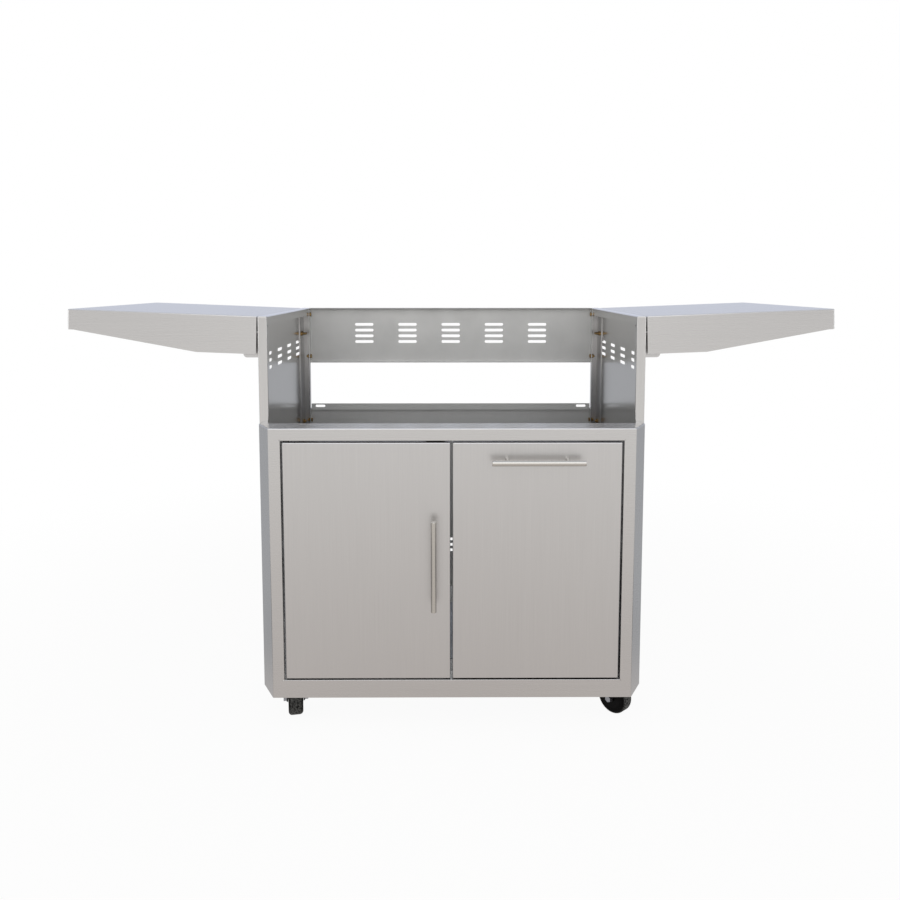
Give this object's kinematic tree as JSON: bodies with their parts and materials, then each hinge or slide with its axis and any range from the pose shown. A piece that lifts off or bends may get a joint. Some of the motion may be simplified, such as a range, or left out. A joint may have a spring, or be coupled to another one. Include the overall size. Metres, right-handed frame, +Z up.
{
  "type": "grill cart",
  "caption": "Stainless grill cart with an open bay for a drop-in grill, a hinged door, a pull-out drawer, folding side shelves and swivel casters.",
  "frame": {"origin": "on the floor, midway between the shelf ends and midway between the handles' front and the back", "axes": "+X to the right seen from the front, +Y from the front to the back, +Z up"},
  "size_m": [1.6744, 0.662, 0.9297],
  "materials": {
    "stainless_sheet": "brushed stainless sheet",
    "stainless_bar": "satin stainless bar",
    "yellow_zinc": "yellow zinc plating",
    "zinc_steel": "bright zinc plating",
    "black_steel": "black semi-gloss coating",
    "black_nylon": "moulded, matt",
    "black_rubber": "smooth hard rubber"
  },
  "bodies": {
    "cart": {"front_frame": "stainless_sheet", "left_side_panel": "stainless_sheet", "right_side_panel": "stainless_sheet", "rear_crossbar": "stainless_sheet", "rear_rail": "stainless_sheet", "back_panel": "stainless_sheet", "left_rear_post": "stainless_sheet", "right_rear_post": "stainless_sheet", "base_pan": "stainless_sheet", "left_shelf_brackets": "stainless_sheet", "right_shelf_brackets": "stainless_sheet", "frame_bolts": "yellow_zinc", "frame_nuts": "yellow_zinc", "caster_plates": "zinc_steel", "caster_kingpins": "zinc_steel", "caster_bolts": "zinc_steel", "caster_nuts": "zinc_steel", "slide_brackets": "zinc_steel", "slide_outer": "zinc_steel", "door_pins": "zinc_steel", "door_catch": "black_nylon"},
    "door": {"door_skin": "stainless_sheet", "door_liner": "stainless_sheet", "door_bushes": "black_nylon", "door_strike": "zinc_steel", "door_handle_bar": "stainless_bar", "door_handle_posts": "stainless_bar", "door_handle_screws": "zinc_steel"},
    "drawer": {"drawer_skin": "stainless_sheet", "drawer_liner": "stainless_sheet", "drawer_tray": "stainless_sheet", "drawer_gussets": "stainless_sheet", "slide_inner": "zinc_steel", "drawer_handle_bar": "stainless_bar", "drawer_handle_posts": "stainless_bar", "drawer_handle_screws": "zinc_steel"},
    "slide_middle": {"slide_middle": "zinc_steel"},
    "left_shelf": {"left_shelf_pan": "stainless_sheet", "left_shelf_ears": "stainless_sheet", "left_shelf_pins": "zinc_steel"},
    "right_shelf": {"right_shelf_pan": "stainless_sheet", "right_shelf_ears": "stainless_sheet", "right_shelf_pins": "zinc_steel"},
    "front_left_swivel": {"front_left_fork": "black_steel", "front_left_axle": "zinc_steel"},
    "front_left_wheel": {"front_left_hub": "black_nylon", "front_left_tyre": "black_rubber"},
    "front_right_swivel": {"front_right_fork": "black_steel", "front_right_axle": "zinc_steel"},
    "front_right_wheel": {"front_right_hub": "black_nylon", "front_right_tyre": "black_rubber"},
    "rear_left_swivel": {"rear_left_fork": "black_steel", "rear_left_axle": "zinc_steel"},
    "rear_left_wheel": {"rear_left_hub": "black_nylon", "rear_left_tyre": "black_rubber"},
    "rear_right_swivel": {"rear_right_fork": "black_steel", "rear_right_axle": "zinc_steel"},
    "rear_right_wheel": {"rear_right_hub": "black_nylon", "rear_right_tyre": "black_rubber"}
  },
  "joints": [
    {"name": "door_hinge", "type": "hinge", "parent": "cart", "child": "door", "pos_m": [-0.353, -0.285, 0.38925], "axis": [0, 0, -1], "range_deg": [0, 105]},
    {"name": "drawer_slide", "type": "slide", "parent": "cart", "child": "drawer", "axis": [0, -1, 0], "range_m": [0, 0.44]},
    {"name": "drawer_slide_middle", "type": "slide", "parent": "cart", "child": "slide_middle", "axis": [0, -1, 0], "range_m": [0, 0.22]},
    {"name": "left_shelf_fold", "type": "hinge", "parent": "cart", "child": "left_shelf", "pos_m": [-0.4505, 0.046, 0.8435], "axis": [0, -1, 0], "range_deg": [0, 92]},
    {"name": "right_shelf_fold", "type": "hinge", "parent": "cart", "child": "right_shelf", "pos_m": [0.4505, 0.046, 0.8435], "axis": [0, 1, 0], "range_deg": [0, 92]},
    {"name": "front_left_swivel_turn", "type": "hinge", "parent": "cart", "child": "front_left_swivel", "pos_m": [-0.363, -0.1805, 0.09], "axis": [0, 0, 1], "continuous": true},
    {"name": "front_left_wheel_spin", "type": "hinge", "parent": "front_left_swivel", "child": "front_left_wheel", "pos_m": [-0.35918, -0.20013, 0.0375], "axis": [0.9816, 0.1908, 0], "continuous": true},
    {"name": "front_right_swivel_turn", "type": "hinge", "parent": "cart", "child": "front_right_swivel", "pos_m": [0.363, -0.1805, 0.09], "axis": [0, 0, 1], "continuous": true},
    {"name": "front_right_wheel_spin", "type": "hinge", "parent": "front_right_swivel", "child": "front_right_wheel", "pos_m": [0.37638, -0.19536, 0.0375], "axis": [0.7431, 0.6691, 0], "continuous": true},
    {"name": "rear_left_swivel_turn", "type": "hinge", "parent": "cart", "child": "rear_left_swivel", "pos_m": [-0.363, 0.219, 0.09], "axis": [0, 0, 1], "continuous": true},
    {"name": "rear_left_wheel_spin", "type": "hinge", "parent": "rear_left_swivel", "child": "rear_left_wheel", "pos_m": [-0.363, 0.199, 0.0375], "axis": [1, 0, 0], "continuous": true},
    {"name": "rear_right_swivel_turn", "type": "hinge", "parent": "cart", "child": "rear_right_swivel", "pos_m": [0.363, 0.219, 0.09], "axis": [0, 0, 1], "continuous": true},
    {"name": "rear_right_wheel_spin", "type": "hinge", "parent": "rear_right_swivel", "child": "rear_right_wheel", "pos_m": [0.35616, 0.20021, 0.0375], "axis": [0.9397, -0.342, 0], "continuous": true}
  ],
  "couplings": [
    {"joint": "drawer_slide_middle", "follows": "drawer_slide", "ratio": 0.5}
  ]
}
